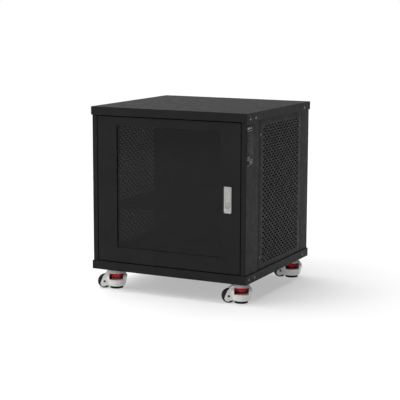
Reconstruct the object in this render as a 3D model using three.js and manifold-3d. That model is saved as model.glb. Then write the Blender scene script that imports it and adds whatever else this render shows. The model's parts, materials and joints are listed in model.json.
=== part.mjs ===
// Network server rack cabinet: a free-standing 19-inch cabinet on four levelling casters.
// Millimetres, +Z up. Origin on the floor under the middle; the front door faces -Y, +X is its right.
import * as THREE from 'three';
import { mergeVertices } from 'three/addons/utils/BufferGeometryUtils.js';
import Module from 'manifold-3d';

const wasm = await Module();
wasm.setup();

// ---- driving dimensions -------------------------------------------------------------------
const WIDTH = 600;
const DEPTH = 560;
const BOX_HEIGHT = 579;            // base tray's underside to the top cover's upper face
const CASTER_HEIGHT = 75;
const SHEET = 1.5;                 // sheet steel thickness
const GAP = 0.3;                   // play between neighbouring pieces
const HEM = 3.2;                   // doubled edge of the tray's and the cover's rims
const TOP_RIM = 29;
const BASE_RIM = 30;
const LEDGE_REACH = 35;            // rim folded inwards above and below each door
const POST_INSET = 3.5;            // posts and panels stand this far inside the rims
const POST_STRIP = 18;             // width of a post seen from the front
const POST_LIP = 19.5;             // depth of the fold that the door closes beside
const FRONT_POST_DEPTH = 102.5;
const REAR_POST_DEPTH = 72.5;
const JOGGLE = 1.8;                // step that lets a side panel lie flush with the posts
const JOGGLE_REACH = 26;
const DOOR_GAP = 3;
const DOOR_DEPTH = 20;
const PIN_INSET = 7;               // hinge axis to the door's edge and to its face
const PIN_RADIUS = 3;
const WINDOW_WIDTH = 398;
const WINDOW_BOTTOM = 161;
const WINDOW_TOP = 591.5;
const GLASS = 4;
const RACK_UNIT = 44.45;
const RACK_UNITS = 11;
const RACK_HOLE_SPACING = 465.1;   // 19-inch fixing centres, left to right
const RACK_CLEAR = 450.8;          // clear width between the rails
const RAIL_FACE_Y = 210;           // rail faces lie this far before and behind the middle
const RAIL_FACE_WIDTH = 23.6;
const RAIL_DEPTH = 35;
const RAIL_BOTTOM = 112;
const UNIT_MARK = 0.3;             // depth, and half the width, of the line between two rack units
const BRACE_HEIGHT = 30;
const CABLE_ENTRY = { halfWidth: 110, from: 110, to: 190 };
const SHELF_TOP = 318.5;
const SHELF_LIP = 28;
const CASTER_INSET = 54;           // swivel axis to the cabinet's sides
const CASTER_HEADING = 26.9;       // degrees, where every caster's foot points at rest
const WHEEL_RADIUS = 25;
const LATCH_X = 230;
const LATCH_Z = 361;
const LATCH_WIDTH = 27.5;
const LATCH_HEIGHT = 90;
const LATCH_BODY_WIDTH = 23;       // the part of the latch behind the door's face
const LATCH_BODY_HEIGHT = 84;
const BUTTON_DROP = 19.4;          // push button below the middle of the latch
const REAR_LOCK_X = -240;
const REAR_LOCK_RADIUS = 9.4;
const THROUGH = 5;                 // how far a cutting shape runs past the face that it opens

// ---- places worked out from them ----------------------------------------------------------
const HALF_WIDTH = WIDTH / 2;
const HALF_DEPTH = DEPTH / 2;
const BASE = CASTER_HEIGHT;
const TOP = BASE + BOX_HEIGHT;
const FLOOR_TOP = BASE + SHEET;
const ROOF_UNDER = TOP - SHEET;
const BASE_EDGE = BASE + BASE_RIM;
const TOP_EDGE = TOP - TOP_RIM;
const POST_X = HALF_WIDTH - POST_INSET;
const POST_Y = HALF_DEPTH - POST_INSET;
const LIP_X = POST_X - POST_STRIP;
const FRONT_JOINT = FRONT_POST_DEPTH - POST_Y;      // where a side panel meets the front post
const REAR_JOINT = POST_Y - REAR_POST_DEPTH;
const DOOR_X = LIP_X - DOOR_GAP;
const DOOR_BOTTOM = BASE_EDGE + DOOR_GAP;
const DOOR_TOP = TOP_EDGE - DOOR_GAP - 0.5;
const PIN_X = DOOR_X - PIN_INSET;
const PIN_Y = POST_Y - PIN_INSET;
const LEDGE_X = LIP_X - GAP;
const RAIL_X = RACK_CLEAR / 2;
const RAIL_WEB_X = RAIL_X + RAIL_FACE_WIDTH;
const RAIL_TOP = RAIL_BOTTOM + RACK_UNITS * RACK_UNIT;
const BUTTON_Z = LATCH_Z - BUTTON_DROP;

// ---- materials ----------------------------------------------------------------------------
const finish = (color, roughness, metalness) => () =>
  new THREE.MeshStandardMaterial({ color, roughness, metalness });
const blackSteel = finish(0x2b2b2b, 0.6, 0.1);
const darkGlass = () =>
  new THREE.MeshStandardMaterial({ color: 0x262427, roughness: 0.08, transparent: true, opacity: 0.6 });
const rubber = finish(0x161616, 0.85, 0);
const zinc = finish(0x9a9b98, 0.4, 0.8);
const satinMetal = finish(0xbdbdb7, 0.35, 0.7);
const casterWhite = finish(0xd7d7d2, 0.45, 0.1);
const casterRed = finish(0xa40018, 0.5, 0);
const wheelNylon = finish(0x171717, 0.55, 0);

// ---- solids -------------------------------------------------------------------------------
function solid(geometry) {
  geometry.deleteAttribute('normal');
  geometry.deleteAttribute('uv');
  const merged = mergeVertices(geometry, 1e-3);
  return new wasm.Manifold(new wasm.Mesh({
    numProp: 3,
    vertProperties: new Float32Array(merged.attributes.position.array),
    triVerts: new Uint32Array(merged.index.array),
  }));
}

const ordered = (a, b) => [Math.min(a, b), Math.max(a, b)];
const joined = (...pieces) => pieces.reduce((whole, piece) => whole.add(piece));
const cut = (whole, ...tools) => tools.reduce((rest, tool) => rest.subtract(tool), whole);

function box(x0, x1, y0, y1, z0, z1) {
  const geometry = new THREE.BoxGeometry(x1 - x0, y1 - y0, z1 - z0);
  return solid(geometry.translate((x0 + x1) / 2, (y0 + y1) / 2, (z0 + z1) / 2));
}

// A cylinder along axis 'x', 'y' or 'z' between two stations; (u, v) are its other coordinates.
function rod(axis, radius, from, to, u, v, sides = 16) {
  const geometry = new THREE.CylinderGeometry(radius, radius, to - from, sides);
  const middle = (from + to) / 2;
  if (axis === 'x') return solid(geometry.rotateZ(-Math.PI / 2).translate(middle, u, v));
  if (axis === 'y') return solid(geometry.translate(u, middle, v));
  return solid(geometry.rotateX(Math.PI / 2).translate(u, v, middle));
}

// A body of revolution about Z through (x, y), from [radius, height] pairs that start and end at radius 0.
function turned(profile, x, y, sides = 20) {
  const points = profile.map(([radius, height]) => new THREE.Vector2(radius, height));
  return solid(new THREE.LatheGeometry(points, sides).rotateX(Math.PI / 2).translate(x, y, 0));
}

const outline = (points) => new THREE.Shape(points.map(([u, v]) => new THREE.Vector2(u, v)));

// Extrusions of a shape drawn in X-Y along Z, and of one drawn in X-Z along Y.
function upright(shape, z0, z1) {
  const geometry = new THREE.ExtrudeGeometry(shape, { depth: z1 - z0, bevelEnabled: false });
  return solid(geometry.translate(0, 0, z0));
}

function lengthwise(shape, y0, y1, curveSegments = 6) {
  const settings = { depth: y1 - y0, bevelEnabled: false, curveSegments };
  return solid(new THREE.ExtrudeGeometry(shape, settings).rotateX(Math.PI / 2).translate(0, y1, 0));
}

// The section of a folded sheet: a path of outer corners and the same path set in by the thickness.
// A positive thickness lies to the right of the direction of travel.
function folded(path, thickness) {
  const corners = path.map(([x, y]) => new THREE.Vector2(x, y));
  const inward = (a, b) => {
    const along = b.clone().sub(a).normalize();
    return new THREE.Vector2(along.y, -along.x).multiplyScalar(thickness);
  };
  const inner = corners.map((corner, i) => {
    const before = i > 0 ? inward(corners[i - 1], corner) : new THREE.Vector2();
    const after = i < corners.length - 1 ? inward(corner, corners[i + 1]) : new THREE.Vector2();
    return corner.clone().add(before).add(after);
  });
  return new THREE.Shape([...corners, ...inner.reverse()]);
}

const cabinet = new THREE.Group();

function place(name, body, material, parent = cabinet) {
  const { vertProperties, triVerts } = body.getMesh();
  const geometry = new THREE.BufferGeometry();
  geometry.setAttribute('position', new THREE.BufferAttribute(new Float32Array(vertProperties), 3));
  geometry.setIndex(new THREE.BufferAttribute(new Uint32Array(triVerts), 1));
  const mesh = new THREE.Mesh(geometry, material());
  mesh.name = name;
  parent.add(mesh);
  return mesh;
}

// ---- carcass ------------------------------------------------------------------------------
// Folded ledges along the front and rear rims, each with a hole for one door's hinge pin.
function ledges(z0) {
  const inside = HALF_DEPTH - LEDGE_REACH;
  const front = box(-LEDGE_X, LEDGE_X, -HALF_DEPTH, -inside, z0, z0 + SHEET);
  const rear = box(-LEDGE_X, LEDGE_X, inside, HALF_DEPTH, z0, z0 + SHEET);
  const hole = PIN_RADIUS + GAP;
  return cut(
    joined(front, rear),
    rod('z', hole, z0 - THROUGH, z0 + THROUGH, -PIN_X, -PIN_Y),
    rod('z', hole, z0 - THROUGH, z0 + THROUGH, PIN_X, PIN_Y),
  );
}

// A box whose four rims are a hem thick, hollow between the two given heights.
function rimmed(z0, z1, hollowFrom, hollowTo) {
  const inX = HALF_WIDTH - HEM;
  const inY = HALF_DEPTH - HEM;
  const shell = box(-HALF_WIDTH, HALF_WIDTH, -HALF_DEPTH, HALF_DEPTH, z0, z1);
  return cut(shell, box(-inX, inX, -inY, inY, hollowFrom, hollowTo));
}

function baseTray() {
  const tray = rimmed(BASE, BASE_EDGE, FLOOR_TOP, BASE_EDGE + THROUGH);
  const { halfWidth, from, to } = CABLE_ENTRY;
  const cableEntry = box(-halfWidth, halfWidth, from, to, BASE - THROUGH, FLOOR_TOP + THROUGH);
  return joined(cut(tray, cableEntry), ledges(BASE_EDGE - SHEET));
}

function topCover() {
  return joined(rimmed(TOP_EDGE, TOP, TOP_EDGE - THROUGH, ROOF_UNDER), ledges(TOP_EDGE));
}

// Corner post: lip beside the door, front strip, side web, and a stepped flange behind the panel.
function post(side, end) {
  const joint = end < 0 ? FRONT_POST_DEPTH : REAR_POST_DEPTH;
  const webEnd = POST_Y - joint + GAP;
  const section = [
    [LIP_X, POST_Y - POST_LIP],
    [LIP_X, POST_Y],
    [POST_X, POST_Y],
    [POST_X, webEnd],
    [POST_X - JOGGLE, webEnd],
    [POST_X - JOGGLE, webEnd - JOGGLE_REACH],
  ].map(([x, y]) => [side * x, end * y]);
  return upright(folded(section, side * end * SHEET), FLOOR_TOP + GAP, ROOF_UNDER - GAP);
}

function sidePanel(side) {
  const faces = ordered(side * POST_X, side * (POST_X - SHEET));
  const tuck = 8;                  // the panel's edges reach behind the rims
  return box(...faces, FRONT_JOINT, REAR_JOINT - GAP, BASE_EDGE - tuck, TOP_EDGE + tuck);
}

function sideBrace(side, z0) {
  const inner = RAIL_WEB_X + GAP;
  const outer = POST_X - JOGGLE - SHEET - GAP;
  const reach = RAIL_FACE_Y + 12;  // runs on past both rails
  const section = [[outer, z0], [inner, z0], [inner, z0 + BRACE_HEIGHT], [outer, z0 + BRACE_HEIGHT]];
  const shape = folded(section.map(([x, z]) => [side * x, z]), side * SHEET);
  return lengthwise(shape, -reach, reach);
}

// Mounting rail: an angle whose face carries the equipment's ears, with a line scored across it
// between every two rack units.
function mountingRail(side, end) {
  const faceX = ordered(side * RAIL_X, side * RAIL_WEB_X);
  const faceY = ordered(end * RAIL_FACE_Y, end * (RAIL_FACE_Y - SHEET));
  const webX = ordered(side * RAIL_WEB_X, side * (RAIL_WEB_X - SHEET));
  const webY = ordered(end * RAIL_FACE_Y, end * (RAIL_FACE_Y - RAIL_DEPTH));
  const angle = joined(
    box(...faceX, ...faceY, RAIL_BOTTOM, RAIL_TOP),
    box(...webX, ...webY, RAIL_BOTTOM, RAIL_TOP),
  );
  const scoreX = ordered(side * (RAIL_X - THROUGH), side * (RAIL_WEB_X + THROUGH));
  const scoreY = ordered(end * (RAIL_FACE_Y - UNIT_MARK), end * (RAIL_FACE_Y + THROUGH));
  const scores = [];
  for (let unit = 1; unit < RACK_UNITS; unit++) {
    const z = RAIL_BOTTOM + unit * RACK_UNIT;
    scores.push(box(...scoreX, ...scoreY, z - UNIT_MARK, z + UNIT_MARK));
  }
  return cut(angle, ...scores);
}

function equipmentShelf() {
  const half = RAIL_X - 3.4;       // slides in between the rails
  const ear = RACK_HOLE_SPACING / 2 + 8.4;
  const face = RAIL_FACE_Y + GAP;
  const outer = face + SHEET;
  const low = SHELF_TOP - SHELF_LIP;
  return joined(
    box(-half, half, -outer, outer, SHELF_TOP - SHEET, SHELF_TOP),
    box(-half, -half + SHEET, -outer, outer, low, SHELF_TOP),
    box(half - SHEET, half, -outer, outer, low, SHELF_TOP),
    box(-ear, ear, -outer, -face, low, SHELF_TOP),
    box(-ear, ear, face, outer, low, SHELF_TOP),
  );
}

place('base_tray', baseTray(), blackSteel);
place('top_cover', topCover(), blackSteel);
for (const [sideName, side] of [['left', -1], ['right', 1]]) {
  place(`${sideName}_side_panel`, sidePanel(side), blackSteel);
  place(`${sideName}_lower_brace`, sideBrace(side, RAIL_BOTTOM), blackSteel);
  place(`${sideName}_upper_brace`, sideBrace(side, RAIL_TOP - BRACE_HEIGHT), blackSteel);
  for (const [endName, end] of [['front', -1], ['rear', 1]]) {
    place(`${endName}_${sideName}_post`, post(side, end), blackSteel);
    place(`${endName}_${sideName}_rail`, mountingRail(side, end), blackSteel);
  }
}
place('equipment_shelf', equipmentShelf(), blackSteel);

// ---- doors --------------------------------------------------------------------------------
// A door is a sheet pan, open towards the inside; end is -1 for the front door and 1 for the rear.
function doorPan(end) {
  const outerY = ordered(end * POST_Y, end * (POST_Y - DOOR_DEPTH));
  const innerY = ordered(end * (POST_Y - SHEET), end * (POST_Y - DOOR_DEPTH - THROUGH));
  const inX = DOOR_X - SHEET;
  const hollow = box(-inX, inX, ...innerY, DOOR_BOTTOM + SHEET, DOOR_TOP - SHEET);
  const pan = cut(box(-DOOR_X, DOOR_X, ...outerY, DOOR_BOTTOM, DOOR_TOP), hollow);
  const hole = PIN_RADIUS + GAP;
  return cut(
    pan,
    rod('z', hole, DOOR_BOTTOM - THROUGH, DOOR_BOTTOM + THROUGH, end * PIN_X, end * PIN_Y),
    rod('z', hole, DOOR_TOP - THROUGH, DOOR_TOP + THROUGH, end * PIN_X, end * PIN_Y),
  );
}

function doorFrame() {
  const halfWindow = WINDOW_WIDTH / 2;
  const face = [-POST_Y - THROUGH, -POST_Y + THROUGH];
  const play = 0.5;
  const halfLatch = LATCH_BODY_WIDTH / 2 + play;
  const highLatch = LATCH_BODY_HEIGHT / 2 + 2 * play;
  return cut(
    doorPan(-1),
    box(-halfWindow, halfWindow, ...face, WINDOW_BOTTOM, WINDOW_TOP),
    box(LATCH_X - halfLatch, LATCH_X + halfLatch, ...face, LATCH_Z - highLatch, LATCH_Z + highLatch),
  );
}

function rearDoorPanel() {
  const hole = REAR_LOCK_RADIUS + GAP;
  return cut(doorPan(1), rod('y', hole, POST_Y - THROUGH, POST_Y + THROUGH, REAR_LOCK_X, LATCH_Z));
}

// Hinge pin with the square block that holds it in the door's corner.
function hingePin(end, top) {
  const up = top ? 1 : -1;
  const edge = top ? DOOR_TOP : DOOR_BOTTOM;
  const ledge = top ? TOP_EDGE : BASE_EDGE;
  const flange = edge - up * (SHEET + GAP);
  const blockHeight = 16;
  const blockZ = ordered(flange - up * blockHeight, flange);
  const pinZ = ordered(flange - up * blockHeight / 4, ledge + up * THROUGH);
  const x = end * PIN_X;
  const y = end * PIN_Y;
  const half = PIN_INSET - SHEET - GAP;
  return joined(
    box(x - half, x + half, y - half, y + half, ...blockZ),
    rod('z', PIN_RADIUS, ...pinZ, x, y),
  );
}

const glassFront = -POST_Y + 3.5;
const glassBack = glassFront + GLASS;
const glassEdge = 12;              // the pane reaches this far behind the frame

function doorGlass() {
  const half = WINDOW_WIDTH / 2 + glassEdge;
  return box(-half, half, glassFront, glassBack, WINDOW_BOTTOM - glassEdge, WINDOW_TOP + glassEdge);
}

// Rubber channel round the pane's four edges.
function glassGasket() {
  const half = WINDOW_WIDTH / 2;
  const ring = (grow, y0, y1) =>
    box(-half - grow, half + grow, y0, y1, WINDOW_BOTTOM - grow, WINDOW_TOP + grow);
  const groove = ring(glassEdge + GAP, glassFront - GAP, glassBack + GAP);
  const sightline = ring(2, glassFront - THROUGH, glassBack + THROUGH);
  return cut(ring(glassEdge + 2.5, -POST_Y + SHEET + GAP, glassBack + 1.5), groove, sightline);
}

place('door_frame', doorFrame(), blackSteel);
place('door_glass', doorGlass(), darkGlass);
place('glass_gasket', glassGasket(), rubber);
place('rear_door_panel', rearDoorPanel(), blackSteel);
for (const [name, end] of [['front', -1], ['rear', 1]]) {
  place(`${name}_door_upper_pin`, hingePin(end, true), zinc);
  place(`${name}_door_lower_pin`, hingePin(end, false), zinc);
}

// ---- front latch --------------------------------------------------------------------------
const bezelFront = -HALF_DEPTH + 0.7;
const bezelBack = -POST_Y - GAP;
const leverTop = LATCH_Z + 41.6;
const leverBottom = LATCH_Z - 9.4;
const leverHalf = 9.4;
const leverPivotZ = leverTop - 4;
const leverPivotY = bezelFront + 2.3;
const leverPinRadius = 1.5;
const leverPinHalf = 11;
const buttonRadius = 7.3;
const buttonDepth = 10;
const plugRadius = 4.2;
const shankRadius = 3.2;           // the key plug's thin end, which turns the bolt
const tongueFront = -POST_Y + DOOR_DEPTH + 0.5;
const tongueBack = tongueFront + 4;
const tongueHalf = 7;
const keySlot = { halfWidth: 0.6, halfHeight: 3, depth: 7 };

function roundedPlate(x, z, width, height, radius) {
  const [w, h] = [width / 2, height / 2];
  const shape = new THREE.Shape();
  shape.absarc(x + w - radius, z - h + radius, radius, -Math.PI / 2, 0);
  shape.absarc(x + w - radius, z + h - radius, radius, 0, Math.PI / 2);
  shape.absarc(x - w + radius, z + h - radius, radius, Math.PI / 2, Math.PI);
  shape.absarc(x - w + radius, z - h + radius, radius, Math.PI, Math.PI * 1.5);
  return shape;
}

function latchHousing() {
  const bezel = roundedPlate(LATCH_X, LATCH_Z, LATCH_WIDTH, LATCH_HEIGHT, 3);
  const [halfBody, highBody] = [LATCH_BODY_WIDTH / 2, LATCH_BODY_HEIGHT / 2];
  const bodyBack = tongueBack + 2.5;
  const pocket = leverHalf + GAP;
  const pinBore = leverPinHalf + 1;
  const slot = tongueHalf + GAP;
  return cut(
    joined(
      lengthwise(bezel, bezelFront, bezelBack, 3),
      box(LATCH_X - halfBody, LATCH_X + halfBody, bezelBack, bodyBack,
        LATCH_Z - highBody, LATCH_Z + highBody),
    ),
    box(LATCH_X - pocket, LATCH_X + pocket, bezelFront - THROUGH, bezelFront + 9,
      leverBottom - GAP, leverTop + GAP * 2),
    rod('x', leverPinRadius + GAP, LATCH_X - pinBore, LATCH_X + pinBore, leverPivotY, leverPivotZ, 12),
    rod('y', buttonRadius + GAP, bezelFront - THROUGH, bezelFront + 14, LATCH_X, BUTTON_Z, 20),
    rod('y', shankRadius + GAP, bezelFront, tongueFront + THROUGH, LATCH_X, BUTTON_Z, 12),
    box(LATCH_X - halfBody - THROUGH, LATCH_X + halfBody + THROUGH, tongueFront - GAP, tongueBack + GAP,
      BUTTON_Z - slot, BUTTON_Z + slot),
  );
}

function latchLever() {
  const face = bezelFront + GAP;
  return joined(
    box(LATCH_X - leverHalf, LATCH_X + leverHalf, face, face + 4, leverBottom, leverTop),
    rod('x', leverPinRadius, LATCH_X - leverPinHalf, LATCH_X + leverPinHalf, leverPivotY, leverPivotZ, 12),
  );
}

function pushButton() {
  const front = bezelFront + 0.1;
  const body = rod('y', buttonRadius, front, bezelFront + buttonDepth, LATCH_X, BUTTON_Z, 20);
  const bore = [bezelFront - THROUGH, bezelFront + buttonDepth + THROUGH];
  return cut(body, rod('y', plugRadius + GAP, ...bore, LATCH_X, BUTTON_Z));
}

// A lock core along Y with a slot for the key; outer is the end that the key enters, towards end.
function slotted(core, x, z, outer, end) {
  const { halfWidth, halfHeight, depth } = keySlot;
  const reach = ordered(outer + end * THROUGH, outer - end * depth);
  return cut(core, box(x - halfWidth, x + halfWidth, ...reach, z - halfHeight, z + halfHeight));
}

function keyPlug() {
  const front = bezelFront + 0.4;
  const head = rod('y', plugRadius, front, bezelFront + buttonDepth, LATCH_X, BUTTON_Z);
  const shank = rod('y', shankRadius, bezelFront + buttonDepth, tongueFront - 4, LATCH_X, BUTTON_Z, 12);
  return slotted(joined(head, shank), LATCH_X, BUTTON_Z, front, -1);
}

function latchTongue() {
  const tip = DOOR_X + 0.5;
  return box(LATCH_X - 15, tip, tongueFront, tongueBack, BUTTON_Z - tongueHalf, BUTTON_Z + tongueHalf);
}

place('latch_housing', latchHousing(), satinMetal);
place('latch_lever', latchLever(), satinMetal);
place('latch_push_button', pushButton(), satinMetal);
place('latch_key_plug', keyPlug(), zinc);
place('latch_bolt', latchTongue(), zinc);

// ---- rear lock ----------------------------------------------------------------------------
const rearCamFace = POST_Y - DOOR_DEPTH - 0.4;
const rearCamBack = rearCamFace - 2.5;
const rearCoreRadius = 5;

function rearLockBarrel() {
  const collar = rod('y', 12, POST_Y + GAP, HALF_DEPTH - 0.5, REAR_LOCK_X, LATCH_Z, 20);
  const barrel = rod('y', REAR_LOCK_RADIUS, rearCamFace + GAP, POST_Y + GAP, REAR_LOCK_X, LATCH_Z, 20);
  const bore = [rearCamFace - THROUGH, HALF_DEPTH + THROUGH];
  return cut(joined(collar, barrel), rod('y', rearCoreRadius + GAP, ...bore, REAR_LOCK_X, LATCH_Z));
}

function rearLockCam() {
  const outer = HALF_DEPTH - 0.8;
  const core = rod('y', rearCoreRadius, rearCamBack, outer, REAR_LOCK_X, LATCH_Z);
  const [left, right, reach] = [REAR_LOCK_X - 8, REAR_LOCK_X + 8, LATCH_Z + 45];
  const blade = box(left, right, rearCamBack, rearCamFace, LATCH_Z - 9, reach);
  return joined(slotted(core, REAR_LOCK_X, LATCH_Z, outer, 1), blade);
}

place('rear_lock_barrel', rearLockBarrel(), satinMetal);
place('rear_lock_cam', rearLockCam(), zinc);

// ---- levelling casters --------------------------------------------------------------------
// Drawn about the swivel axis with the floor at z = 0, the foot towards +X and the wheel towards -X.
const footX = 11.5;
const wheelX = -31;
const wheelHalf = 12;
const cheekHalf = 16;
const cheekWall = 3.4;
const plateHalf = 29;
const plateTop = CASTER_HEIGHT - GAP;
const plateBottom = plateTop - 3;
const raceRadius = 21;
const kingPinRadius = 5;
const kingPinBottom = 58;
const housingTop = 65.4;
const armTop = 62;
const windowBottom = 33.6;
const windowTop = 55.6;
const windowHalf = 25;
const stemRadius = 5.5;
const stemTop = 54;
const axleRadius = 4;
const padRadius = 23.5;
const padTop = 12;
const toothTop = 50;
const toothStep = 42;              // the wide teeth stand on the narrow gear here
const gearBottom = 34.2;

function casterPlate() {
  return joined(
    box(-plateHalf, plateHalf, -plateHalf, plateHalf, plateBottom, plateTop),
    rod('z', raceRadius, housingTop + GAP, plateBottom, 0, 0, 20),
    rod('z', kingPinRadius, kingPinBottom, housingTop + GAP, 0, 0),
  );
}

function casterHousing() {
  const boss = turned([
    [0, 9], [29, 9], [31, 11], [38.5, 41], [38.5, 46], [27, armTop], [24, housingTop], [0, housingTop],
  ], footX, 0);
  const arm = new THREE.Shape();
  arm.moveTo(footX, armTop);
  arm.lineTo(-21, armTop);
  arm.lineTo(-36.5, 44);
  arm.absarc(-34.8, 15, 12.7, Math.PI * 0.94, Math.PI * 1.75);
  arm.lineTo(-20, 10);
  arm.lineTo(footX, 10);
  const axleBore = cheekHalf - cheekWall + 2.7;
  const forkHalf = wheelHalf + 0.6;
  return cut(
    joined(boss, lengthwise(arm, -cheekHalf, cheekHalf)),
    rod('y', WHEEL_RADIUS + 2, -forkHalf, forkHalf, wheelX, WHEEL_RADIUS, 20),
    box(footX - windowHalf, footX + windowHalf, -45, windowHalf + 0.5, windowBottom, windowTop),
    rod('z', stemRadius + GAP, padTop, stemTop + 3.2, footX, 0),
    rod('z', padRadius + 1.3, THROUGH, padTop + 3.4, footX, 0),
    rod('z', kingPinRadius + GAP, kingPinBottom - 0.4, housingTop + THROUGH, 0, 0),
    rod('y', axleRadius + GAP, -axleBore, axleBore, wheelX, WHEEL_RADIUS),
  );
}

function casterWheel() {
  const crown = WHEEL_RADIUS - 3;
  const profile = [[0, -wheelHalf], [crown, -wheelHalf], [WHEEL_RADIUS, -8], [WHEEL_RADIUS, 8],
    [crown, wheelHalf], [0, wheelHalf]].map(([radius, y]) => new THREE.Vector2(radius, y));
  const disc = solid(new THREE.LatheGeometry(profile, 24).translate(wheelX, 0, WHEEL_RADIUS));
  const bore = wheelHalf + THROUGH;
  return cut(disc, rod('y', axleRadius + GAP, -bore, bore, wheelX, WHEEL_RADIUS));
}

function casterAxle() {
  return rod('y', axleRadius, -cheekHalf + 1, cheekHalf - 1, wheelX, WHEEL_RADIUS);
}

// A toothed ring outline: each tooth takes half of its pitch.
function toothed(teeth, tip, root) {
  const points = [];
  for (let tooth = 0; tooth < teeth; tooth += 1) {
    for (const [share, radius] of [[0, tip], [0.4, tip], [0.5, root], [0.9, root]]) {
      const angle = (tooth + share) / teeth * Math.PI * 2;
      points.push([footX + radius * Math.cos(angle), radius * Math.sin(angle)]);
    }
  }
  return outline(points);
}

function thumbwheel() {
  const grip = upright(toothed(10, 22.5, 19.5), toothStep, toothTop);
  const gear = upright(toothed(8, 16, 13), gearBottom, toothStep);
  const bore = rod('z', stemRadius + GAP, gearBottom - THROUGH, toothTop + THROUGH, footX, 0);
  return cut(joined(grip, gear), bore);
}

function footStem() {
  return rod('z', stemRadius, 4.3, stemTop, footX, 0);
}

function footPad() {
  const foot = padRadius - 1;
  const profile = [[0, 0], [foot, 0], [padRadius, 1], [padRadius, 5], [14, padTop], [0, padTop]];
  return cut(turned(profile, footX, 0), rod('z', stemRadius + GAP, 4, padTop + THROUGH, footX, 0));
}

for (const [endName, end] of [['front', -1], ['rear', 1]]) {
  for (const [sideName, side] of [['left', -1], ['right', 1]]) {
    const caster = new THREE.Group();
    caster.position.set(side * (HALF_WIDTH - CASTER_INSET), end * (HALF_DEPTH - CASTER_INSET), 0);
    const name = (piece) => `${endName}_${sideName}_${piece}`;
    const turning = new THREE.Group();
    turning.rotation.z = THREE.MathUtils.degToRad(CASTER_HEADING);
    place(name('caster_plate'), casterPlate(), zinc, caster);
    place(name('caster_housing'), casterHousing(), casterWhite, turning);
    place(name('caster_axle'), casterAxle(), zinc, turning);
    place(name('caster_wheel'), casterWheel(), wheelNylon, turning);
    place(name('thumbwheel'), thumbwheel(), casterRed, turning);
    place(name('foot_stem'), footStem(), zinc, turning);
    place(name('foot_pad'), footPad(), rubber, turning);
    caster.add(turning);
    cabinet.add(caster);
  }
}

export default cabinet;
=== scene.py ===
"""Looks for a network server rack cabinet on levelling casters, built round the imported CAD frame."""
import json
import math
import random

import bmesh
import bpy
from mathutils import Matrix, Vector


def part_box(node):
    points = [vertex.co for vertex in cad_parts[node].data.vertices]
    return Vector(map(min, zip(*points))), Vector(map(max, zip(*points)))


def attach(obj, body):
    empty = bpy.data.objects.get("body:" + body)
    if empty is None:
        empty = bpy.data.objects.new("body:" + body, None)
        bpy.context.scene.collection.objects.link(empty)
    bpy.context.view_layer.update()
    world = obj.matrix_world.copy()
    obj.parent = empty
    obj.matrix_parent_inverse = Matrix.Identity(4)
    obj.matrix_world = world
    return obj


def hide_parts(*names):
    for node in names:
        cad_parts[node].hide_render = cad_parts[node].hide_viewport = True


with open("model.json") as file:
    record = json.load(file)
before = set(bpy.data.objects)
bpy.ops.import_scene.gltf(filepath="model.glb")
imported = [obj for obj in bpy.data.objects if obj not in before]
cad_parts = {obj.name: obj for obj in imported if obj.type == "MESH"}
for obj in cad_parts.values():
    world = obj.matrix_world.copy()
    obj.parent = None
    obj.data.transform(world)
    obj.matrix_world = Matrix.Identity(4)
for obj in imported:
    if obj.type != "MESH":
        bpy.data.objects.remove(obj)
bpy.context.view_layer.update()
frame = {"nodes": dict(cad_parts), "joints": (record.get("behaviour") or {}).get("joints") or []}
NODES = frame["nodes"]
JOINTS = {joint["name"]: joint for joint in frame["joints"]}
CORNERS = [f"{end}_{side}" for end in ("front", "rear") for side in ("left", "right")]
MM = 0.001

# in millimetres
VENT_ACROSS, VENT_UP = 27.3, 9.42      # pitches of the staggered vents
VENT_LENGTH, VENT_WIDTH = 14.5, 4.2
SHEET = 1.5
RACK_UNIT, RACK_HOLE = 44.45, 9.5
RACK_STEPS = (6.35, 22.225, 38.1)      # hole centres within a rack unit
RACK_CENTRES = 465.1                   # between the left and right columns of holes
CABLE_ENTRY = 110, 110, 190            # the tray's cable opening: half its width, and its ends along Y


# ---- camera, light and floor -----------------------------------------------------------------
def ceiling_light(strength, lean):
    """A very soft light from overhead, the same all over the floor; lean tips it to one side."""
    light = bpy.data.lights.new("ceiling", "SUN")
    light.energy = strength
    light.angle = math.radians(90)
    lamp = bpy.data.objects.new("ceiling", light)
    lamp.rotation_euler = lean
    bpy.context.scene.collection.objects.link(lamp)


def white_backdrop(left, right):
    """A white surround that lights the scene only faintly, and less from the right than from the left."""
    world = bpy.data.worlds.new("studio")
    world.use_nodes = True
    nodes, links = world.node_tree.nodes, world.node_tree.links
    background = nodes["Background"]
    towards = nodes.new("ShaderNodeSeparateXYZ")
    links.new(nodes.new("ShaderNodeTexCoord").outputs["Generated"], towards.inputs["Vector"])
    fill = nodes.new("ShaderNodeMapRange")
    fill.inputs["From Min"].default_value = -0.5
    fill.inputs["From Max"].default_value = 0.5
    fill.inputs["To Min"].default_value = left
    fill.inputs["To Max"].default_value = right
    links.new(towards.outputs["X"], fill.inputs["Value"])
    level = nodes.new("ShaderNodeMapRange")
    level.inputs["To Max"].default_value = 1.0
    links.new(nodes.new("ShaderNodeLightPath").outputs["Is Camera Ray"], level.inputs["Value"])
    links.new(fill.outputs["Result"], level.inputs["To Min"])
    links.new(level.outputs["Result"], background.inputs["Strength"])
    background.inputs["Color"].default_value = (1, 1, 1, 1)
    bpy.context.scene.world = world


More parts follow.
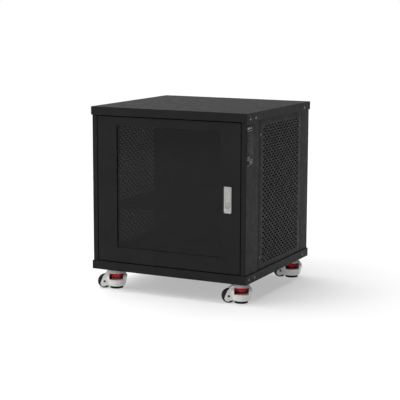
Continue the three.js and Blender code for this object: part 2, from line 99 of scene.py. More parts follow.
def build_stage():
    """A view from the front right and a little above, a pale floor, and soft light, strongest from above."""
    camera = bpy.data.objects.new("camera", bpy.data.cameras.new("camera"))
    camera.data.lens = 112.06
    camera.location = (1.983, -4.0, 1.0366)
    camera.rotation_euler = (math.radians(80.678), math.radians(-0.162), math.radians(26.538))
    camera.data.clip_end = 100
    bpy.context.scene.collection.objects.link(camera)
    bpy.context.scene.camera = camera
    bpy.context.scene.view_settings.view_transform = "Standard"

    def softbox(name, place, size, power, target=(0, 0, 0.3)):
        light = bpy.data.lights.new(name, "AREA")
        light.shape = "RECTANGLE"
        light.size, light.size_y = size
        light.energy = power
        lamp = bpy.data.objects.new(name, light)
        lamp.location = place
        lamp.rotation_euler = (Vector(target) - Vector(place)).to_track_quat("-Z", "Y").to_euler()
        bpy.context.scene.collection.objects.link(lamp)

    softbox("overhead", (-0.6, -0.8, 3.6), (3.0, 3.0), 25)
    softbox("front_left", (-2.6, -3.2, 1.6), (1.6, 1.6), 17)
    softbox("right_rear", (2.4, 3.4, 1.8), (1.2, 1.8), 3.4)
    ceiling_light(2.6, (0, math.radians(-28), 0))
    white_backdrop(0.5, 0.02)

    mesh = bpy.data.meshes.new("floor")
    bm = bmesh.new()
    bmesh.ops.create_circle(bm, cap_ends=True, radius=30, segments=96)
    bm.to_mesh(mesh)
    bm.free()
    mesh.materials.append(floor_paint())
    floor = bpy.data.objects.new("floor", mesh)
    bpy.context.scene.collection.objects.link(floor)


# ---- materials -------------------------------------------------------------------------------
class Finish:
    """A Principled material whose colour, roughness and bump vary with noise in object space."""

    def __init__(self, name, roughness, metallic=0.0, **sockets):
        self.material = bpy.data.materials.new(name)
        self.material.use_nodes = True
        self.tree = self.material.node_tree
        self.bsdf = self.tree.nodes["Principled BSDF"]
        self.bsdf.inputs["Roughness"].default_value = roughness
        self.bsdf.inputs["Metallic"].default_value = metallic
        for socket, value in sockets.items():
            self.bsdf.inputs[socket.replace("_", " ")].default_value = value
        self.place = self.node("ShaderNodeTexCoord").outputs["Object"]

    def node(self, kind, **inputs):
        made = self.tree.nodes.new(kind)
        for name, value in inputs.items():
            socket = made.inputs[name.replace("_", " ")]
            if isinstance(value, bpy.types.NodeSocket):
                self.tree.links.new(value, socket)
            else:
                socket.default_value = value
        return made

    def noise(self, size_mm, detail=3.0, stretch=(1, 1, 1)):
        """Noise with features about size_mm across; stretch above 1 makes them finer on that axis."""
        scaled = self.node("ShaderNodeMapping", Vector=self.place, Scale=stretch)
        made = self.node("ShaderNodeTexNoise", Vector=scaled.outputs["Vector"],
                         Scale=1 / (size_mm * MM), Detail=detail)
        return made.outputs["Fac"]

    def ramp(self, value, low, high, start=0.35, end=0.65):
        made = self.node("ShaderNodeMapRange", Value=value, From_Min=start, From_Max=end,
                         To_Min=low, To_Max=high)
        return made.outputs["Result"]

    def colours(self, value, dark, light, start=0.35, end=0.65):
        made = self.node("ShaderNodeValToRGB", Fac=value)
        made.color_ramp.elements[0].position = start
        made.color_ramp.elements[0].color = (*dark, 1)
        made.color_ramp.elements[1].position = end
        made.color_ramp.elements[1].color = (*light, 1)
        self.tree.links.new(made.outputs["Color"], self.bsdf.inputs["Base Color"])
        return self

    def rough(self, value, low, high):
        self.tree.links.new(self.ramp(value, low, high), self.bsdf.inputs["Roughness"])
        return self

    def bump(self, value, height_mm, strength=0.5):
        made = self.node("ShaderNodeBump", Height=value, Distance=height_mm * MM, Strength=strength)
        normal = self.bsdf.inputs["Normal"]
        if normal.is_linked:
            self.tree.links.new(normal.links[0].from_socket, made.inputs["Normal"])
        self.tree.links.new(made.outputs["Normal"], normal)
        return self


def floor_paint():
    """A pale floor with a faint glow of its own, which keeps the shadow under the cabinet light."""
    made = Finish("floor_paint", 0.9, Specular_IOR_Level=0.0, Emission_Strength=0.42)
    made.colours(made.noise(400), (0.60, 0.60, 0.60), (0.62, 0.62, 0.62))
    return made.material


def powder_coat():
    """Fine-textured matte black powder coat: an orange-peel skin and a faint unevenness in gloss."""
    made = Finish("black_powder_coat", 0.5, Specular_IOR_Level=0.085)
    made.colours(made.noise(60), (0.0135, 0.0135, 0.0138), (0.016, 0.016, 0.0163))
    made.rough(made.noise(25), 0.44, 0.54)
    made.bump(made.noise(1.1, 2.0), 0.05, 0.35)
    return made.material


def smoked_glass():
    """Glass so dark that little of the inside shows through it."""
    made = Finish("smoked_glass", 0.03, Transmission_Weight=1.0, IOR=1.29)
    made.colours(made.noise(120), (0.024, 0.0225, 0.0255), (0.028, 0.0265, 0.0295))
    made.rough(made.noise(90), 0.02, 0.05)
    return made.material


def rubber():
    made = Finish("black_rubber", 0.8, Specular_IOR_Level=0.3)
    made.colours(made.noise(8), (0.010, 0.010, 0.010), (0.016, 0.016, 0.016))
    made.rough(made.noise(3), 0.7, 0.9)
    made.bump(made.noise(0.8), 0.05, 0.5)
    return made.material


def latch_metal():
    """Satin-silver die casting: fine vertical brushing and a soft unevenness."""
    made = Finish("latch_satin_metal", 0.42, 0.25, Specular_IOR_Level=0.5)
    made.colours(made.noise(9), (0.39, 0.39, 0.365), (0.46, 0.46, 0.435))
    made.rough(made.noise(0.6, 2.0, (1, 1, 0.08)), 0.34, 0.5)
    made.bump(made.noise(0.4, 2.0, (1, 1, 0.06)), 0.01, 0.25)
    return made.material


def zinc_plate():
    """Bright zinc plating with the faint mottling of the bath."""
    made = Finish("zinc_plated_steel", 0.3, 0.95)
    made.colours(made.noise(5, 4.0), (0.52, 0.51, 0.49), (0.68, 0.67, 0.64))
    made.rough(made.noise(2.5), 0.22, 0.4)
    made.bump(made.noise(0.7), 0.01, 0.3)
    return made.material


def caster_enamel():
    """Warm light-grey enamel over a die casting, a little rough where the mould was."""
    made = Finish("caster_white", 0.4, Specular_IOR_Level=0.45)
    made.colours(made.noise(14), (0.74, 0.745, 0.715), (0.80, 0.805, 0.775))
    made.rough(made.noise(5), 0.34, 0.5)
    made.bump(made.noise(1.6, 3.0), 0.04, 0.4)
    return made.material


def red_plastic():
    made = Finish("thumbwheel_red", 0.4, Specular_IOR_Level=0.4)
    made.colours(made.noise(6), (0.55, 0.0012, 0.014), (0.68, 0.002, 0.02))
    made.rough(made.noise(2), 0.34, 0.5)
    made.bump(made.noise(0.6), 0.02, 0.3)
    return made.material


def wheel_nylon():
    made = Finish("wheel_nylon", 0.5, Specular_IOR_Level=0.4)
    made.colours(made.noise(10), (0.007, 0.007, 0.007), (0.011, 0.011, 0.011))
    made.rough(made.noise(2.5, 4.0), 0.4, 0.65)
    made.bump(made.noise(0.9), 0.03, 0.4)
    return made.material


def screw_steel():
    """Blackened screw heads with brighter patches at random."""
    made = Finish("screw_steel", 0.32, 0.9)
    made.colours(made.noise(1.6, 3.0), (0.11, 0.11, 0.11), (0.40, 0.40, 0.39), 0.4, 0.65)
    made.rough(made.noise(1.2), 0.25, 0.45)
    made.bump(made.noise(0.5), 0.01, 0.3)
    return made.material


def axle_steel():
    """Black-oxide steel, dull and slightly blotched; on the caster axle its dark colour is also painted shade
    for the axle end sunk in the casting's bore.
    """
    made = Finish("axle_steel", 0.5, 0.6, Specular_IOR_Level=0.3)
    made.colours(made.noise(2.5, 3.0), (0.06, 0.06, 0.06), (0.11, 0.11, 0.108))
    made.rough(made.noise(1.5), 0.42, 0.6)
    return made.material


def label_film():
    made = Finish("label_film", 0.5, Specular_IOR_Level=0.09)
    made.colours(made.noise(20), (0.0085, 0.0085, 0.009), (0.0115, 0.0115, 0.012))
    made.bump(made.noise(6), 0.02, 0.3)
    return made.material


def label_ink():
    made = Finish("label_ink", 0.5)
    made.colours(made.noise(2), (0.20, 0.19, 0.185), (0.34, 0.33, 0.32))
    return made.material


BLACK, GLASS, RUBBER = powder_coat(), smoked_glass(), rubber()
SATIN, ZINC, ENAMEL = latch_metal(), zinc_plate(), caster_enamel()
RED, NYLON, FILM, INK = red_plastic(), wheel_nylon(), label_film(), label_ink()
SCREW, AXLE = screw_steel(), axle_steel()


# ---- making pieces ---------------------------------------------------------------------------
def soften(piece, width_mm, segments=2, angle=30):
    """Rounds the hard edges and keeps the flat faces flat."""
    bevel = piece.modifiers.new("soft_edges", "BEVEL")
    bevel.width = width_mm * MM
    bevel.segments = segments
    bevel.limit_method = "ANGLE"
    bevel.angle_limit = math.radians(angle)
    bevel.use_clamp_overlap = True
    normals = piece.modifiers.new("flat_faces", "WEIGHTED_NORMAL")
    normals.keep_sharp = True
    piece.data.shade_smooth()


def dress(node, material, width_mm):
    """A CAD node that keeps its own shape: its facets are merged, its edges rounded, its finish set."""
    piece = NODES[node]
    weld = piece.modifiers.new("one_skin", "WELD")
    weld.merge_threshold = 0.002 * MM
    flat = piece.modifiers.new("whole_faces", "DECIMATE")
    flat.decimate_type = "DISSOLVE"
    flat.angle_limit = math.radians(0.5)
    soften(piece, width_mm)
    piece.data.materials.clear()
    piece.data.materials.append(material)
    return piece


def mesh_of(name, bm, material, crisp=False):
    """A mesh in metres from a bmesh in millimetres; crisp shades each flat face flat."""
    bmesh.ops.recalc_face_normals(bm, faces=bm.faces)
    bmesh.ops.transform(bm, matrix=Matrix.Scale(MM, 4), verts=bm.verts)
    mesh = bpy.data.meshes.new(name)
    bm.to_mesh(mesh)
    bm.free()
    mesh.materials.append(material)
    mesh.shade_smooth()
    if crisp:
        mesh.set_sharp_from_angle(angle=math.radians(40))
    return mesh


def show(name, bm, material, body, replaces=(), place=Matrix.Identity(4), mesh=None, crisp=False):
    """Turns a bmesh, or a mesh that others share, into a piece riding on a body."""
    if mesh is None:
        mesh = mesh_of(name, bm, material, crisp)
    piece = bpy.data.objects.new(name, mesh)
    piece.matrix_world = place
    bpy.context.scene.collection.objects.link(piece)
    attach(piece, body)
    if replaces:
        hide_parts(*replaces)
    return piece


# ---- shaping, in millimetres -----------------------------------------------------------------
def span(node):
    """A CAD node's lowest and highest corners, in millimetres."""
    low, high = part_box(node)
    return Vector(low) / MM, Vector(high) / MM


def eased(points, radius, steps=4, closed=False):
    """The polyline with each corner rounded, by less where a side is short."""
    points = [Vector(point) for point in points]
    made = []
    for i, corner in enumerate(points):
        if not closed and i in (0, len(points) - 1):
            made.append(corner)
            continue
        before, after = points[i - 1] - corner, points[(i + 1) % len(points)] - corner
        back = min(radius, before.length * 0.45, after.length * 0.45)
        start, end = corner + before.normalized() * back, corner + after.normalized() * back
        for step in range(steps + 1):
            t = step / steps
            made.append(start * (1 - t) ** 2 + corner * 2 * t * (1 - t) + end * t ** 2)
    return made


def arc(x, y, radius, start, end, steps=16):
    """Points round a centre, between two angles in degrees."""
    turns = [math.radians(start + (end - start) * step / steps) for step in range(steps + 1)]
    return [(x + radius * math.cos(turn), y + radius * math.sin(turn)) for turn in turns]


def turned(profile, steps=64, closed=False):
    """A body of revolution about Z from (radius, height) pairs that start and end on the axis, or close."""
    bm = bmesh.new()
    rings = []
    for radius, height in profile:
        if radius < 1e-6:
            rings.append([bm.verts.new((0, 0, height))] * steps)
            continue
        turns = [math.tau * step / steps for step in range(steps)]
        rings.append([bm.verts.new((radius * math.cos(a), radius * math.sin(a), height)) for a in turns])
    if closed:
        rings.append(rings[0])
    for lower, upper in zip(rings, rings[1:]):
        for i in range(steps):
            j = (i + 1) % steps
            corners = list(dict.fromkeys((lower[i], lower[j], upper[j], upper[i])))
            if len(corners) > 2:
                bm.faces.new(corners)
    bmesh.ops.recalc_face_normals(bm, faces=bm.faces)
    return bm


def prism(points, low, high):
    """An outline in X-Y extruded along Z."""
    bm = bmesh.new()
    floor = [bm.verts.new((x, y, low)) for x, y in points]
    roof = [bm.verts.new((x, y, high)) for x, y in points]
    bm.faces.new(reversed(floor))
    bm.faces.new(roof)
    for i, start in enumerate(floor):
        j = (i + 1) % len(floor)
        bm.faces.new((start, floor[j], roof[j], roof[i]))
    bmesh.ops.recalc_face_normals(bm, faces=bm.faces)
    return bm


def rounded_rectangle(x0, x1, y0, y1, radius, steps=6):
    """The outline of a rectangle with round corners."""
    return (arc(x1 - radius, y1 - radius, radius, 0, 90, steps)
            + arc(x0 + radius, y1 - radius, radius, 90, 180, steps)
            + arc(x0 + radius, y0 + radius, radius, 180, 270, steps)
            + arc(x1 - radius, y0 + radius, radius, 270, 360, steps))


def rod(radius, low, high, steps=64):
    """A plain cylinder about Z."""
    return turned([(0, low), (radius, low), (radius, high), (0, high)], steps)


def washer(inner, outer, low, high):
    """The closed profile of a flat ring."""
    return [(inner, low), (outer, low), (outer, high), (inner, high)]


def brick(low, high):
    """A closed box between two corners."""
    (x0, y0, z0), (x1, y1, z1) = low, high
    return prism([(x0, y0), (x1, y0), (x1, y1), (x0, y1)], z0, z1)


def moved(bm, matrix):
    """The same bmesh, transformed, with its faces still pointing out."""
    bmesh.ops.transform(bm, matrix=matrix, verts=bm.verts)
    if matrix.determinant() < 0:
        bmesh.ops.reverse_faces(bm, faces=bm.faces)
    return bm


def facing(axis, at=(0, 0, 0)):
    """The matrix that turns +Z towards a direction and moves the origin to a point."""
    return Matrix.Translation(at) @ Vector(axis).to_track_quat("Z", "Y").to_matrix().to_4x4()


def standing(x=0, y=0, side=1, way=1):
    """The matrix that stands a flat X-Y shape upright: its Y goes up, and its Z along Y, or against it."""
    return Matrix(((side, 0, 0, x), (0, 0, way, y), (0, 1, 0, 0), (0, 0, 0, 1)))


def standing_aside(x, way=1):
    """The matrix that stands a flat X-Y shape on a side of the cabinet, with its Z along X, or against it."""
    return Matrix(((0, 0, way, x), (1, 0, 0, 0), (0, 1, 0, 0), (0, 0, 0, 1)))


def softened(bm, width, angle=30, segments=2):
    """The bmesh with its hard edges rounded."""
    limit = math.radians(angle)
    edges = [edge for edge in bm.edges if edge.is_manifold and edge.calc_face_angle() > limit]
    bmesh.ops.bevel(bm, geom=edges, offset=width, segments=segments, profile=0.5, affect="EDGES",
                    clamp_overlap=True)
    return bm


def gathered(parts):
    """Several bmeshes as one."""
    whole = bmesh.new()
    for part in parts:
        mesh = bpy.data.meshes.new("part")
        part.to_mesh(mesh)
        part.free()
        whole.from_mesh(mesh)
        bpy.data.meshes.remove(mesh)
    return whole


def scratch(bm):
    """A passing object for the modifiers that need one."""
    mesh = bpy.data.meshes.new("scratch")
    bmesh.ops.recalc_face_normals(bm, faces=bm.faces)
    bm.to_mesh(mesh)
    bm.free()
    made = bpy.data.objects.new("scratch", mesh)
    bpy.context.scene.collection.objects.link(made)
    return made


def baked(piece, *others):
    """The bmesh that a passing object's modifiers make of it; the objects are then removed."""
    result = piece.evaluated_get(bpy.context.evaluated_depsgraph_get()).to_mesh()
    bm = bmesh.new()
    bm.from_mesh(result)
    for used in (piece, *others):
        mesh = used.data
        bpy.data.objects.remove(used)
        bpy.data.meshes.remove(mesh)
    return bm


def carved(body, *tools, how="DIFFERENCE"):
    """The body with every tool cut away from it, or joined to it; each is a bmesh, and is used up."""
    piece = scratch(body)
    cutters = [scratch(tool) for tool in tools]
    for cutter in cutters:
        step = piece.modifiers.new("carve", "BOOLEAN")
        step.object = cutter
        step.operation = how
        step.solver = "EXACT"
    return baked(piece, *cutters)


def cast(bm, grain, rounds, keep):
    """The form as a casting: every edge, inside and out, gets the soft radius of a mould."""
    piece = scratch(bm)
    skin = piece.modifiers.new("skin", "REMESH")
    skin.mode = "VOXEL"
    skin.voxel_size = grain
    smooth = piece.modifiers.new("smooth", "SMOOTH")
    smooth.factor = 0.5
    smooth.iterations = rounds
    thin = piece.modifiers.new("thin", "DECIMATE")
    thin.ratio = keep
    return baked(piece)


def slotted_sheet(columns, rows, slots=(), slot_length=0, slot_width=0, missing=()):
    """A flat sheet in X-Y on a lattice of lines; slots holds the (column, row) where a slot's cell, two
    columns wide, begins, and missing the cells that are left open."""
    bm = bmesh.new()
    corners = {}

    def corner(i, j):
        if (i, j) not in corners:
            corners[i, j] = bm.verts.new((columns[i], rows[j], 0))
        return corners[i, j]

    half, radius = (slot_length - slot_width) / 2, slot_width / 2
    for j in range(len(rows) - 1):
        i = 0
        while i < len(columns) - 1:
            if (i, j) in missing:
                i += 1
                continue
            if (i, j) not in slots:
                bm.faces.new((corner(i, j), corner(i + 1, j), corner(i + 1, j + 1), corner(i, j + 1)))
                i += 1
                continue
            x, y = columns[i + 1], (rows[j] + rows[j + 1]) / 2
            edge = arc(x - half, y, radius, 225, 270, 1) + [(x, y - radius)]
            edge += arc(x + half, y, radius, -90, 90, 4) + [(x, y + radius)]
            edge += arc(x - half, y, radius, 90, 180, 2)
            inner = [bm.verts.new((u, v, 0)) for u, v in edge]
            outer = [corner(i, j), corner(i + 1, j), corner(i + 2, j),
                     corner(i + 2, j + 1), corner(i + 1, j + 1), corner(i, j + 1)]
            for k in range(6):
                n = (k + 1) % 6
                bm.faces.new((outer[k], outer[n], inner[2 * n], inner[2 * k + 1], inner[2 * k]))
            i += 2
    return bm


def vented_sheet(low, high, count, margin):
    """A sheet with a staggered field of vents in its middle: rows hold count and count + 1 by turns."""
    middle = (low[0] + high[0]) / 2
    field = [middle + VENT_ACROSS / 2 * step for step in range(-count - 1, count + 2)]
    levels = int((high[1] - low[1] - 2 * margin) / VENT_UP)
    bottom = (low[1] + high[1] - levels * VENT_UP) / 2
    rows = [low[1], *(bottom + VENT_UP * step for step in range(levels + 1)), high[1]]
    starts = {(column, level + 1) for level in range(levels)
              for column in range(2 - level % 2, 2 * count + 2, 2)}
    return slotted_sheet([low[0], *field, high[0]], rows, starts, VENT_LENGTH, VENT_WIDTH)


def pressed_sheet(low, high, margin, slope, depth):
    """A sheet whose middle is pressed in by a depth, across a sloping border."""
    columns = [low[0], low[0] + margin, low[0] + margin + slope,
               high[0] - margin - slope, high[0] - margin, high[0]]
    rows = [low[1], low[1] + margin, low[1] + margin + slope,
            high[1] - margin - slope, high[1] - margin, high[1]]
    bm = slotted_sheet(columns, rows)
    for vert in bm.verts:
        if columns[1] + 1 < vert.co.x < columns[4] - 1 and rows[1] + 1 < vert.co.y < rows[4] - 1:
            vert.co.z = -depth
    return bm


def outer_edges(bm, low, high):
    """The edges of a sheet that lie on its rectangle, not round a hole."""
    def outside(edge):
        return any(all(abs(vert.co[axis] - limit) < 1e-3 for vert in edge.verts)
                   for corner in (low, high) for axis, limit in enumerate(corner))
    return [edge for edge in bm.edges if outside(edge)]


def folded(bm, edges, depth):
    """The sheet with some of its edges folded down by a depth."""
    made = bmesh.ops.extrude_edge_only(bm, edges=edges)["geom"]
    verts = [item for item in made if isinstance(item, bmesh.types.BMVert)]
    bmesh.ops.translate(bm, vec=(0, 0, -depth), verts=verts)
    return bm


def folded_pan(bm, low, high, depth):
    """The sheet with its four edges folded down by a depth."""
    return folded(bm, outer_edges(bm, low, high), depth)


def thickened(bm, thickness=SHEET):
    """The open sheet given its thickness, below its upper face."""
    bmesh.ops.recalc_face_normals(bm, faces=bm.faces)
    if sum(face.normal.z * face.calc_area() for face in bm.faces) < 0:
        bmesh.ops.reverse_faces(bm, faces=bm.faces)
    mesh = bpy.data.meshes.new("sheet")
    bm.to_mesh(mesh)
    bm.free()
    piece = bpy.data.objects.new("sheet", mesh)
    bpy.context.scene.collection.objects.link(piece)
    thick = piece.modifiers.new("thickness", "SOLIDIFY")
    thick.thickness = thickness
    thick.offset = -1
    thick.use_even_offset = True
    return baked(piece)


def rim_softened(bm, low, high, width):
    """The outer edges of a sheet's upper face rounded over."""
    rim = [edge for edge in outer_edges(bm, low, high)
           if all(abs(vert.co.z) < 1e-3 for vert in edge.verts)]
    bmesh.ops.bevel(bm, geom=rim, offset=width, segments=3, profile=0.5, affect="EDGES", clamp_overlap=True)
    return bm


# ---- sheet-metal carcass ---------------------------------------------------------------------
def carcass():
    """The tray, cover, posts and braces keep their CAD shape, with rounded edges."""
    for node in ("base_tray", "top_cover"):
        dress(node, BLACK, 0.8)
    for corner in CORNERS:
        dress(f"{corner}_post", BLACK, 0.5)
    for side in ("left", "right"):
        dress(f"{side}_lower_brace", BLACK, 0.5)
        dress(f"{side}_upper_brace", BLACK, 0.5)


def cable_brush():
    """Two rows of bristles that close the tray's cable opening and let cables through."""
    floor = span("base_tray")[0].z + SHEET
    half, near, far = CABLE_ENTRY
    end, lap, holder_height = 6, 7, 3.6         # what the holders cover beyond the opening, and their height
    tufts, root, tip, tuft_height, layer_step = 140, 1.5, 1.1, 1, 1.3
    parts = []
    for y, before, after in ((near, lap, 3), (far, 3, lap)):
        holder = brick((-half - end, y - before, floor), (half + end, y + after, floor + holder_height))
        parts.append(softened(holder, 0.5))
    spread = random.Random(11)
    for start, side in ((near + 2, 1), (far - 2, -1)):
        for tuft in range(tufts):
            x = -half + (tuft + 0.5) * 2 * half / tufts
            reach = (near + far) / 2 + side * spread.uniform(1, 3.5)
            layer = floor + 0.5 + layer_step * (tuft % 2)
            outline = [(x - root, start), (x + root, start), (x + tip, reach), (x - tip, reach)]
            parts.append(prism(outline, layer, layer + tuft_height))
    show("tray_cable_brush", gathered(parts), NYLON, "cabinet", crisp=True)


def door_strip():
    """A foam strip under the cover, just behind the front door's top edge."""
    door_top = span("door_frame")[1]
    left, right, thickness, clearance = -200, 250, 4, 1.2
    back = door_top.y + clearance
    strip = brick((left, back, door_top.z - 7), (right, back + thickness, door_top.z + 4))
    show("door_top_strip", softened(strip, 1), RUBBER, "cabinet")


def side_panels():
    """Lift-off side panels with a field of staggered vents."""
    for side, sign in (("left", -1), ("right", 1)):
        low, high = span(f"{side}_side_panel")
        reveal = 1.4                   # how far the panel stands short of the posts and the cover
        corners = (low.y + reveal, low.z), (high.y - reveal, high.z - reveal)
        sheet = thickened(vented_sheet(*corners, count=11, margin=27))
        rim_softened(sheet, *corners, 0.6)
        face = high.x if sign > 0 else low.x
        show(f"{side}_vented_panel", moved(sheet, standing_aside(face, sign)), BLACK, "cabinet",
             [f"{side}_side_panel"])


def mounting_rails():
    """Angles with three square holes in every rack unit."""
    for corner in CORNERS:
        low, high = span(f"{corner}_rail")
        side = 1 if "right" in corner else -1
        end = 1 if "rear" in corner else -1
        inner = min(abs(low.x), abs(high.x))
        width = abs(high.x - low.x)
        column = RACK_CENTRES / 2 - inner
        columns = [0, column - RACK_HOLE / 2, column + RACK_HOLE / 2, width]
        rows = [low.z]
        for unit in range(round((high.z - low.z) / RACK_UNIT)):
            for step in RACK_STEPS:
                middle = low.z + unit * RACK_UNIT + step
                rows += [middle - RACK_HOLE / 2, middle + RACK_HOLE / 2]
        rows.append(high.z)
        holes = {(1, row) for row in range(1, len(rows) - 1, 2)}
        sheet = slotted_sheet(columns, rows, missing=holes)
        fold = [edge for edge in sheet.edges if all(abs(v.co.x - width) < 1e-3 for v in edge.verts)]
        sheet = thickened(folded(sheet, fold, high.y - low.y))
        face = high.y if end > 0 else low.y
        rail = show(f"{corner}_punched_rail", moved(sheet, standing(side * inner, face, side, end)), BLACK,
                    "cabinet", [f"{corner}_rail"])
        soften(rail, 0.3)


def shelf():
    """A vented shelf with folded edges, and face plates that are screwed to the rails."""
    low, high = span("equipment_shelf")
    half = span("front_right_rail")[0].x - 3.4     # its sides stand clear of the rails
    corners = (-half, low.y + SHEET), (half, high.y - SHEET)
    pan = thickened(folded_pan(vented_sheet(*corners, count=13, margin=46), *corners, high.z - low.z - 0.5))
    parts = [moved(pan, Matrix.Translation((0, 0, high.z)))]
    for y in (low.y, high.y - SHEET):
        plate = prism(rounded_rectangle(low.x, high.x, low.z, high.z, 2.5), 0, SHEET)
        parts.append(moved(plate, standing(y=y)))
    piece = show("vented_shelf", gathered(parts), BLACK, "cabinet", ["equipment_shelf"])
    soften(piece, 0.35, 2)


# ---- doors -----------------------------------------------------------------------------------
def doors():
    """The glazed front door, and a solid rear door with a pressed field that stiffens it."""
    dress("door_frame", BLACK, 0.7)
    dress("door_glass", GLASS, 0.5)
    dress("glass_gasket", RUBBER, 0.4)
    low, high = span("rear_door_panel")
    corners = (low.x, low.z), (high.x, high.z)
    field = pressed_sheet(*corners, margin=62, slope=9, depth=3)
    pan = thickened(folded_pan(field, *corners, high.y - low.y))
    rim_softened(pan, *corners, 1.2)
    show("rear_pressed_door", moved(pan, standing(y=high.y, side=-1)), BLACK, "rear_door",
         ["rear_door_panel"])
    for end in ("front", "rear"):
        for level in ("upper", "lower"):
            hinge_pin(end, level)


def hinge_pin(end, level):
    """A ground pin with a chamfered tip, pressed in a block."""
    node = f"{end}_door_{level}_pin"
    low, high = span(node)
    x, y = (low.x + high.x) / 2, (low.y + high.y) / 2
    block_height, radius = 16, 3
    up = level == "upper"
    base, tip = (low.z, high.z) if up else (high.z, low.z)
    sign = 1 if up else -1
    block = softened(brick((low.x - x, low.y - y, 0), (high.x - x, high.y - y, block_height)), 0.6)
    reach = abs(tip - base)
    pin = turned([(0, block_height - 1), (radius, block_height - 1), (radius, reach - 0.8),
                  (radius - 0.8, reach), (0, reach)], 40)
    stand = Matrix.Translation((x, y, base)) @ Matrix.Diagonal((1, 1, sign, 1))
    show(f"{node}_fitting", moved(gathered([block, pin]), stand), AXLE, f"{end}_door", [node])


# ---- front latch -----------------------------------------------------------------------------
def latch():
    """A flush latch: bezel, swinging lever with a finger scoop, domed push button and key plug."""
    low, high = span("latch_housing")
    x, z = (low.x + high.x) / 2, (low.z + high.z) / 2
    face = low.y
    lever_low, lever_high = span("latch_lever")
    button_low, button_high = span("latch_push_button")
    button_z = (button_low.z + button_high.z) / 2
    gap, lever_half, body_half, button_radius, plug_radius = 0.55, 9.4, 11.5, 7.3, 4.2

    def plate(x0, x1, z0, z1, front, back, radius):
        return moved(prism(rounded_rectangle(x0, x1, z0, z1, radius), -back, -front), standing(way=-1))

    def ahead(bm, z_at, y_at=face):
        """A body about Z, turned to face forwards from a point on the latch's middle line."""
        return moved(bm, facing((0, -1, 0), (x, y_at, z_at)))

    bezel = softened(plate(low.x, high.x, low.z, high.z, face, face + 2.5, 3), 0.7, segments=3)
    body = plate(x - body_half, x + body_half, z - 42, z + 42, face + 2, high.y, 1.5)
    pocket = plate(x - lever_half - gap, x + lever_half + gap, lever_low.z - gap, lever_high.z + gap,
                   face - 5, face + 9, 1.5)
    bore = ahead(rod(button_radius + gap, -14, 5), button_z)
    shaft = ahead(rod(3.6, -50, 0), button_z)
    bolt_low, bolt_high = span("latch_bolt")
    slot = brick((x - 20, bolt_low.y - gap, bolt_low.z - gap), (x + 20, bolt_high.y + gap, bolt_high.z + gap))
    ring = ahead(turned(washer(3.7, 4.2, -0.12, 1), closed=True), z - 37.5)
    crescent = ahead(rod(8, -2, 1), button_z - 1.3)
    line = brick((low.x - 1, face - 1, lever_low.z - 1.7), (high.x + 1, face + 1.4, lever_low.z - 0.3))
    housing = carved(carved(bezel, body, how="UNION"), pocket, bore, shaft, slot, ring, crescent, line)
    show("latch_bezel", housing, SATIN, "front_door", ["latch_housing"], crisp=True)

    lever_face = lever_low.y
    blank = softened(plate(x - lever_half, x + lever_half, lever_low.z, lever_high.z,
                           lever_face, lever_face + 4, 1.2), 0.45, segments=3)
    scoop_tilt = math.radians(8)
    scoop = ahead(moved(rod(7, 0, 8), Matrix.Rotation(-scoop_tilt, 4, "X")), z + 22, lever_face + 0.9)
    pin = moved(turned([(0, lever_low.x), (1.1, lever_low.x), (1.5, lever_low.x + 0.4),
                        (1.5, lever_high.x - 0.4), (1.1, lever_high.x), (0, lever_high.x)], 24),
                facing((1, 0, 0), (0, face + 2.3, lever_high.z - 4)))
    lever = carved(carved(blank, scoop), pin, how="UNION")
    show("latch_lever_plate", lever, SATIN, "latch_lever", ["latch_lever"], crisp=True)

    dome = [(0, 0.6), (2.5, 0.52), (4.6, 0.3), (6.2, -0.1), (7.0, -0.55), (button_radius, -1.1)]
    button = ahead(turned([*dome, (button_radius, -10), (0, -10)][::-1]), button_z)
    plug_bore = ahead(rod(plug_radius + 0.3, -12, 3), button_z)
    show("latch_button_cap", carved(button, plug_bore), SATIN, "latch_push_button",
         ["latch_push_button"], crisp=True)

    plug_back = high.y - face - 6
    plug = ahead(turned([(0, -plug_back), (3.2, -plug_back), (3.2, -10), (plug_radius, -10),
                         (plug_radius, -0.2), (3.9, 0.1), (0, 0.25)]), button_z)
    key_slot = brick((x - 0.6, face - 3, button_z - 2.8), (x + 0.6, face + 7, button_z + 2.8))
    show("latch_key_core", carved(plug, key_slot), SATIN, "latch_key_plug", ["latch_key_plug"], crisp=True)
    dress("latch_bolt", ZINC, 0.8)


def rear_lock():
    """A cam lock: stepped collar, slotted core and a flat cam."""
    low, high = span("rear_lock_barrel")
    x, z = (low.x + high.x) / 2, (low.z + high.z) / 2
    depth = high.y - low.y
    back = facing((0, 1, 0), (x, low.y, z))
    profile = [(5.3, 0), (9.0, 0), (9.4, 0.5), (9.4, depth - 3.2), (11.6, depth - 3.2),
               (12, depth - 2.8), (12, depth - 0.9), (11.1, depth), (5.3, depth)]
    show("rear_lock_collar", moved(turned(profile, closed=True), back), SATIN, "rear_door",
         ["rear_lock_barrel"])
    low, high = span("rear_lock_cam")
    depth = high.y - low.y
    core = moved(turned([(0, 0), (5, 0), (5, depth - 0.4), (4.6, depth), (0, depth)]),
                 facing((0, 1, 0), (x, low.y, z)))
    key_slot = brick((x - 0.6, high.y - 8, z - 3), (x + 0.6, high.y + 3, z + 3))
    blade = prism(rounded_rectangle(x - 8, x + 8, z - 9, high.z, 7.5), 0, 2.5)
    blade = softened(moved(blade, standing(y=low.y)), 0.4)
    cam = carved(carved(core, key_slot), blade, how="UNION")
    show("rear_lock_core", cam, ZINC, "rear_lock_cam", ["rear_lock_cam"], crisp=True)


# ---- levelling casters -----------------------------------------------------------------------
# Drawn about the swivel axis with the floor at z = 0, the foot towards +X and the wheel towards -X.
FOOT_X, WHEEL_X, WHEEL_RADIUS, WHEEL_HALF, CHEEK_HALF = 11.5, -31, 25, 12, 16


